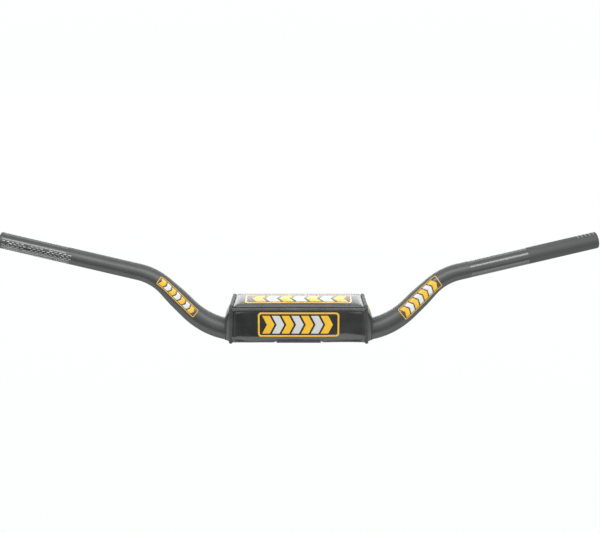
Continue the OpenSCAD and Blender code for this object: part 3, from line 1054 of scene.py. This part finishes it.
def build_binding(side):
    """The bound edge round the slot in an end panel."""
    path = []
    steps, edge = 90, SLOT_R + 0.75
    for k in range(steps + 1):
        y, z = u_loop(k / steps, -edge, edge, SLOT_Z + edge, PAD_BOTTOM + 0.4, SLOT_R + 0.7)
        path.append(narrowed((side * (END_X - 0.3 + end_dome(y, z)), y, z)))
    points, radii = rounded_ends(wavered(path, 0.12, 11.0, 5.0), 1.05, 3)
    verts, faces = tube_shape(points, radii, 12)
    name = "right" if side > 0 else "left"
    binding = outward(mesh_object("pad_slot_binding_" + name, verts, faces, M_WELT))
    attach(binding, "pad")


def stitch(parts, a, b, normal, radius=0.26):
    """One stitch: an arched thread that dips into the cloth at both ends."""
    a, b = Vector(a), Vector(b)
    rise = (-0.28, 0.05, 0.16, 0.05, -0.28)
    path = [a.lerp(b, t) + normal * h for t, h in zip((0, 0.14, 0.5, 0.86, 1), rise)]
    verts, faces = tube_shape(path, radius, 6)
    parts.add(verts, faces)


def stitch_line(parts, path, normals, pitch=3.3, length=2.4):
    """Stitches along a line of points, each with its surface normal."""
    lengths = [0.0]
    for p, q in zip(path, path[1:]):
        lengths.append(lengths[-1] + (q - p).length)

    def at(d):
        d = min(max(d, 0), lengths[-1])
        k = min(max(int(np.searchsorted(lengths, d)), 1), len(path) - 1)
        t = (d - lengths[k - 1]) / max(lengths[k] - lengths[k - 1], 1e-9)
        return path[k - 1].lerp(path[k], t), normals[k - 1].lerp(normals[k], t).normalized()

    d = 0.6
    while d + length < lengths[-1]:
        p, n = at(d)
        q, _ = at(d + length)
        stitch(parts, p, q, n)
        d += pitch


def on_surface(tree, start, direction):
    """Where a ray in millimetres meets a surface, with the surface's normal."""
    hit, normal, _, _ = tree.ray_cast(Vector(start) * MM, Vector(direction).normalized())
    if hit is None:
        return None, None
    if normal.dot(Vector(direction)) > 0:
        normal = -normal
    return hit / MM, normal


def surface_line(tree, points, direction):
    path, normals = [], []
    for p in points:
        hit, normal = on_surface(tree, p, direction)
        if hit is not None:
            path.append(hit)
            normals.append(normal)
    return path, normals


def build_pad_stitches(trees):
    parts = Parts()
    xs = np.linspace(-PANEL_HALF + 5, PANEL_HALF - 5, 90)
    edge_x = PANEL_HALF - 4.2
    edge_zs = np.linspace(PAD_TOP - 7.5, PAD_BOTTOM + 3, 40)
    for tree, y, direction in ((trees["front"], -60, (0, 1, 0)), (trees["rear"], 60, (0, -1, 0))):
        rows = [[Vector((x, y, PAD_TOP - 6.4)) for x in xs]]
        for side in (-1, 1):
            rows.append([Vector((side * edge_x, y, z)) for z in edge_zs])
        for row in rows:
            path, normals = surface_line(tree, row, direction)
            stitch_line(parts, path, normals)
    rows = [[Vector((x, y, 90)) for x in xs] for y in (PAD_FRONT + 6.0, PAD_REAR - 6.0)]
    for row in rows:
        path, normals = surface_line(trees["top"], row, (0, 0, -1))
        stitch_line(parts, path, normals)
    stitches = parts.build("pad_stitches", M_THREAD)
    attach(stitches, "pad")


# ---------------------------------------------------------------- foam


def build_foam():
    """The foam block, cut with soft corners: the CAD solid, remeshed and worn round."""
    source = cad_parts["foam_core"]
    obj = bpy.data.objects.new("pad_foam", source.data.copy())
    obj.data.materials.clear()
    obj.data.materials.append(M_FOAM)
    bpy.context.scene.collection.objects.link(obj)
    remesh = obj.modifiers.new("Remesh", "REMESH")
    remesh.mode = "VOXEL"
    remesh.voxel_size = 0.0016
    smoothing = obj.modifiers.new("Smooth", "SMOOTH")
    smoothing.factor = 0.5
    smoothing.iterations = 6
    dg = bpy.context.evaluated_depsgraph_get()
    mesh = bpy.data.meshes.new_from_object(obj.evaluated_get(dg))
    obj.modifiers.clear()
    obj.data = mesh
    for v in mesh.vertices:
        p = v.co / MM
        face = math.copysign(1, p.y)
        p.y -= face * fold_depth(p.x, p.z, face) * float(smooth((abs(p.y) - 17) / 5))
        p += v.normal * (0.16 * noise.noise(p / 1.6) - 0.12)
        v.co = narrowed(p) * MM
    mesh.materials.clear()
    mesh.materials.append(M_FOAM)
    mesh.polygons.foreach_set("use_smooth", [True] * len(mesh.polygons))
    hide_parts("foam_core")
    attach(obj, "pad")


# ---------------------------------------------------------------- closure under the pad


def strap_shape(line, half_width, thickness, wave_seed):
    """A flat strap along a line in the YZ plane, with rounded long edges and ends."""
    profile = []
    steps = 6
    half_t = thickness / 2
    for k in range(steps + 1):
        a = math.pi / 2 - math.pi * k / steps
        profile.append((half_width - half_t + half_t * math.cos(a), half_t * math.sin(a)))
    loop = [(x, half_t) for x in np.linspace(-half_width + thickness, half_width - thickness, 25)]
    loop += profile
    loop += [(x, -half_t) for x in np.linspace(half_width - thickness, -half_width + thickness, 25)]
    loop += [(-x, t) for x, t in reversed(profile)]
    verts, faces = [], []
    n = len(loop)
    pts = [Vector((0, p[0], p[1])) for p in line]
    for i, p in enumerate(pts):
        ahead = (pts[min(i + 1, len(pts) - 1)] - pts[max(i - 1, 0)]).normalized()
        up = Vector((1, 0, 0)).cross(ahead)
        for x, t in loop:
            wave = 0.10 * noise.noise(Vector((x / 14.0, p.y / 9.0, wave_seed)))
            end = min(i, len(pts) - 1 - i)
            squeeze = (0.35, 0.8, 1.0)[min(end, 2)]
            verts.append(p + Vector((x, 0, 0)) + up * (t * squeeze + wave))
    for i in range(len(pts) - 1):
        for k in range(n):
            m = (k + 1) % n
            faces.append([i * n + k, i * n + m, (i + 1) * n + m, (i + 1) * n + k])
    faces.append(list(range(n)))
    faces.append([(len(pts) - 1) * n + k for k in range(n)][::-1])
    return verts, faces


def bent_line(points, radius, step=0.8):
    """A line through points with its inner corners rounded, at even steps."""
    pts = [Vector(p) for p in points]
    out = [pts[0]]
    for a, p, b in zip(pts, pts[1:], pts[2:]):
        u, w = (a - p).normalized(), (b - p).normalized()
        reach = min(radius, (a - p).length * 0.45, (b - p).length * 0.45)
        for k in range(7):
            t = k / 6
            out.append((p + u * reach) * (1 - t) ** 2 + p * 2 * t * (1 - t) + (p + w * reach) * t * t)
    out.append(pts[-1])
    dense = [out[0]]
    for a, b in zip(out, out[1:]):
        n = max(1, int((b - a).length / step))
        dense.extend(a.lerp(b, k / n) for k in range(1, n + 1))
    return dense


HINGE_Z = PAD_BOTTOM + 1.2
FRONT_HINGE_Y = PAD_FRONT + 1.4
REAR_HINGE_Y = PAD_REAR - 1.4


def build_flap(name, node, body, hinge_y, points, seed):
    line = bent_line(points, 7.0)
    verts, faces = strap_shape(line, FLAP_HALF - 0.1, 1.15, seed)
    parts = Parts()
    parts.add(verts, faces)
    hem = [Vector((x, hinge_y, HINGE_Z)) for x in np.linspace(-FLAP_HALF + 0.3, FLAP_HALF - 0.3, 60)]
    hem_points, hem_radii = rounded_ends(wavered(hem, 0.08, 9.0, seed), 1.2, 3)
    hem_verts, hem_faces = tube_shape(hem_points, hem_radii, 16)
    parts.add(hem_verts, hem_faces)
    flap = outward(parts.build(name, M_WEB))
    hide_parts(node)
    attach(flap, body)
    tree = surface_tree(flap)
    stitches = Parts()
    ys = [p.x for p in line]  # the line's points are (Y, Z) pairs
    edge_ys = np.linspace(min(ys) + 2.0, max(ys) - 1.6, 40)
    end_y = points[-1][1]
    inward = 1.7 if end_y < points[0][1] else -1.7
    end_xs = np.linspace(-FLAP_HALF + 3, FLAP_HALF - 3, 50)
    for direction, start_z in (((0, 0, 1), -60), ((0, 0, -1), 0)):
        rows = [[Vector((side * (FLAP_HALF - 2.4), y, start_z)) for y in edge_ys] for side in (-1, 1)]
        rows.append([Vector((x, end_y + inward, start_z)) for x in end_xs])
        for row in rows:
            path, normals = surface_line(tree, row, direction)
            if len(path) > 2:
                stitch_line(stitches, path, normals, 3.0, 2.1)
    sewn = stitches.build(name + "_stitches", M_THREAD)
    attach(sewn, body)


STRIP_Y0, STRIP_Y1 = 4.5, 14.5


def build_strip(name, node, body, low, high, material):
    """A strip of tape: a woven ground with rounded rim, and hooks or loops on one face."""
    half = FLAP_HALF - 1.2
    ground_low, ground_high = (low, low + 0.4) if high > low else (low - 0.4, low)
    parts = Parts()
    nu, nv = 80, 15
    grid = []
    for layer, z in ((0, ground_low), (1, ground_high)):
        for i in range(nu):
            for j in range(nv):
                x = -half + 2 * half * i / (nu - 1)
                y = STRIP_Y0 + 0.1 + (STRIP_Y1 - STRIP_Y0 - 0.2) * j / (nv - 1)
                rim = 0.12 if i in (0, nu - 1) or j in (0, nv - 1) else 0.0
                waver = 0.05 * noise.noise(Vector((x / 5.0, y / 5.0, z)))
                grid.append(Vector((x, y, z + (rim if layer == 0 else -rim) + waver)))
    parts.add(grid, [face[::-1] for face in double_sheet(nu, nv)])
    face_z = ground_high if high > low else ground_low
    direction = 1 if high > low else -1
    tall = abs(high - low) - 0.42
    if "hook" in name:
        for i in range(44):
            for j in range(7):
                x = -half + 1.4 + (2 * half - 2.8) * i / 43
                y = STRIP_Y0 + 1.2 + (STRIP_Y1 - STRIP_Y0 - 2.4) * j / 6 + (i % 2) * 0.25
                bends = ((0, 0), (0, 0.7), (0.18, 1), (0.4, 0.72))
                path = [Vector((x + over, y, face_z + direction * tall * up)) for over, up in bends]
                verts, tube_faces = tube_shape(path, 0.12, 5)
                parts.add(verts, tube_faces)
    else:
        for _ in range(900):
            x = RNG.uniform(-half + 0.8, half - 0.8)
            y = RNG.uniform(STRIP_Y0 + 0.7, STRIP_Y1 - 0.7)
            turn = RNG.uniform(0, math.pi)
            reach = Vector((math.cos(turn), math.sin(turn), 0)) * RNG.uniform(0.25, 0.5)
            foot = Vector((x, y, face_z))
            up = Vector((0, 0, direction * tall * RNG.uniform(0.6, 1.0)))
            shoulder = up * 0.7
            path = [foot - reach, foot - reach * 0.8 + shoulder, foot + up]
            path += [foot + reach * 0.8 + shoulder, foot + reach]
            verts, tube_faces = tube_shape(path, 0.06, 4)
            parts.add(verts, tube_faces)
    strip = outward(parts.build(name, material))
    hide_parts(node)
    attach(strip, body)


# ---------------------------------------------------------------- badges on the pad


def ray_carry(tree, start, direction):
    """Carries artwork onto a surface: start(u, v) is where a ray towards the surface begins."""

    def carry(u, v, lift):
        hit, normal = on_surface(tree, start(u, v), direction)
        return hit + normal * lift

    return carry


def build_badge(face, art, carry, pale, step):
    yellow = art_piece(f"badge_{face}_yellow", art["yellow"], carry, M_YELLOW, step)
    grey = art_piece(f"badge_{face}_grey", art["pale"], carry, pale, step)
    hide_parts(f"badge_{face}")
    for piece in (yellow, grey):
        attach(piece, "pad")


def build_badges(trees):
    """The badges on the front and the top, and the small label on the right end."""
    front_z, top_y = 19.0, (PAD_FRONT + PAD_REAR) / 2
    on_front = ray_carry(trees["front"], lambda u, v: (u, -60, front_z + v), (0, 1, 0))
    build_badge("front", frame_art(106.4, 34.0, 2.3, 4.4), on_front, M_GREY, 2.0)
    on_top = ray_carry(trees["top"], lambda u, v: (-u, top_y - v, 90), (0, 0, -1))
    build_badge("top", frame_art(140.0, 30.0, 2.1, 4.0), on_top, M_WHITE, 2.5)

    on_end = ray_carry(trees["end_right"], lambda u, v: (160, -6.0 + u, 34.0 + v), (-1, 0, 0))
    outline = outline_ring(block(8.4, 6.8), 0.8, 0.9)
    label = art_piece("end_label_print", outline + [block(5.4, 3.8)], on_end, M_YELLOW, 1.5)
    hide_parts("end_label")
    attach(label, "pad")


# ---------------------------------------------------------------- build everything

build_tube()
build_knurl()
build_cut_marks()
build_tube_decals()
simulate_panels()
objects = {panel.name: build_panel(panel) for panel in PANELS}
trees = {
    "front": surface_tree(objects["pad_cover_front"]),
    "rear": surface_tree(objects["pad_cover_rear"]),
    "top": surface_tree(objects["pad_cover_top"]),
    "end_right": surface_tree(objects["pad_end_right"]),
}
for side in (-1, 1):
    build_welt(side)
    build_binding(side)
build_piping("pad_piping_front", PAD_FRONT + 0.6, "piping_front")
build_piping("pad_piping_rear", PAD_REAR - 0.6, "piping_rear")
build_pad_stitches(trees)
build_foam()
build_flap(
    "closure_flap_front", "front_flap", "front_closure", FRONT_HINGE_Y,
    [(FRONT_HINGE_Y + 0.4, HINGE_Z - 0.4), (3.0, -18.46), (15.5, -18.46)], 2.0,
)
build_flap(
    "closure_flap_rear", "rear_flap", "rear_closure", REAR_HINGE_Y,
    [(REAR_HINGE_Y - 0.4, HINGE_Z - 0.4), (15.5, -15.16), (4.0, -15.16)], 4.0,
)
build_strip("closure_hook_strip", "hook_strip", "front_closure", -17.76, -16.96, M_HOOK)
build_strip("closure_loop_strip", "loop_strip", "rear_closure", -15.86, -16.66, M_LOOP)
build_badges(trees)

# ---------------------------------------------------------------- stage, lights, camera


def stage_plane(name, corners, color, glow=None, camera=True, glossy=True, diffuse=True, shadow=True):
    g = Graph(name)
    g.constant(Specular_IOR_Level=0.1)
    tone = g.noise(900, detail=2)
    g.link(g.mix(g.ramp(tone, 0.3, 0.7), scaled(color, 0.985), color), g.shader.inputs["Base Color"])
    g.shader.inputs["Roughness"].default_value = 0.9
    if glow:
        g.shader.inputs["Emission Color"].default_value = (*glow, 1)
        g.shader.inputs["Emission Strength"].default_value = 1.0
    plane = mesh_object(name, corners, [[0, 1, 2, 3]], g.material, False)
    plane.visible_camera = camera
    plane.visible_glossy = glossy
    plane.visible_diffuse = diffuse
    plane.visible_shadow = shadow
    plane.visible_transmission = camera
    return plane


FLOOR_Z = -60.0
stage_plane(
    "floor", [(-9000, -9000, FLOOR_Z), (9000, -9000, FLOOR_Z), (9000, 9000, FLOOR_Z), (-9000, 9000, FLOOR_Z)],
    (0.002, 0.002, 0.002), glow=(0.966, 0.981, 0.973), glossy=False,
)
dark_card = stage_plane(
    "dark_card", [(-2500, -1100, -820), (2500, -1100, -820), (2500, -1100, -76), (-2500, -1100, -76)],
    (0.01, 0.01, 0.01), glow=(1, 1, 1), camera=False, diffuse=False, shadow=False,
)
stage_plane(
    "low_card", [(-2500, -1050, -760), (2500, -1050, -760), (2500, -140, -760), (-2500, -140, -760)],
    (0.01, 0.01, 0.01), glow=(1.6, 1.6, 1.6), camera=False, diffuse=False, shadow=False,
)
CARD_DARK_X, CARD_LIGHT_X, CARD_LIGHT = -0.35, 0.45, 0.32


def shade_card(card):
    """The dark card is black on the left and grey on the right."""
    tree = card.data.materials[0].node_tree
    coords = tree.nodes.new("ShaderNodeTexCoord")
    split = tree.nodes.new("ShaderNodeSeparateXYZ")
    fall = tree.nodes.new("ShaderNodeMapRange")
    fall.inputs["From Min"].default_value = CARD_DARK_X
    fall.inputs["From Max"].default_value = CARD_LIGHT_X
    fall.inputs["To Max"].default_value = CARD_LIGHT
    shader = next(n for n in tree.nodes if n.type == "BSDF_PRINCIPLED")
    tree.links.new(coords.outputs["Object"], split.inputs["Vector"])
    tree.links.new(split.outputs["X"], fall.inputs["Value"])
    tree.links.new(fall.outputs["Result"], shader.inputs["Emission Strength"])


shade_card(dark_card)


# Lights and the camera are placed in metres.
def area_light(name, place, target, size_x, size_y, power):
    data = bpy.data.lights.new(name, "AREA")
    data.shape = "RECTANGLE"
    data.size = size_x
    data.size_y = size_y
    data.energy = power
    light = bpy.data.objects.new(name, data)
    bpy.context.scene.collection.objects.link(light)
    light.location = place
    light.rotation_euler = (Vector(target) - Vector(place)).to_track_quat("-Z", "Y").to_euler()
    light.visible_camera = False
    return light


area_light("light_top_front", (0, -0.92, 1.35), (0, 0, 0.05), 3.0, 0.36, 21)
area_light("light_back", (0, 2.1, 0.47), (0, 0, 0.05), 3.4, 0.62, 21)
area_light("light_rim", (0, 1.1, 1.5), (0, 0, 0.05), 3.2, 0.5, 9)

world = bpy.data.worlds.new("studio")
bpy.context.scene.world = world
world.use_nodes = True
world.node_tree.nodes["Background"].inputs["Color"].default_value = (0.97, 0.985, 1.0, 1)
world.node_tree.nodes["Background"].inputs["Strength"].default_value = 0.85

camera_data = bpy.data.cameras.new("camera")
camera = bpy.data.objects.new("camera", camera_data)
bpy.context.scene.collection.objects.link(camera)
ELEVATION = math.radians(20)
DISTANCE = 1.75
LOOK_AT = Vector((0, 0, 0.04))
WIDTH_IN_VIEW = 0.79314
SENSOR = 36
camera.location = LOOK_AT + Vector((0, -math.cos(ELEVATION), math.sin(ELEVATION))) * DISTANCE
camera.rotation_euler = (math.pi / 2 - ELEVATION, 0, 0)
camera_data.sensor_width = SENSOR
camera_data.lens = DISTANCE / WIDTH_IN_VIEW * SENSOR
camera_data.shift_x = 0.00233
camera_data.shift_y = 0.0595
camera_data.clip_start = 0.05
camera_data.clip_end = 60
bpy.context.scene.camera = camera
bpy.context.scene.view_settings.view_transform = "Standard"
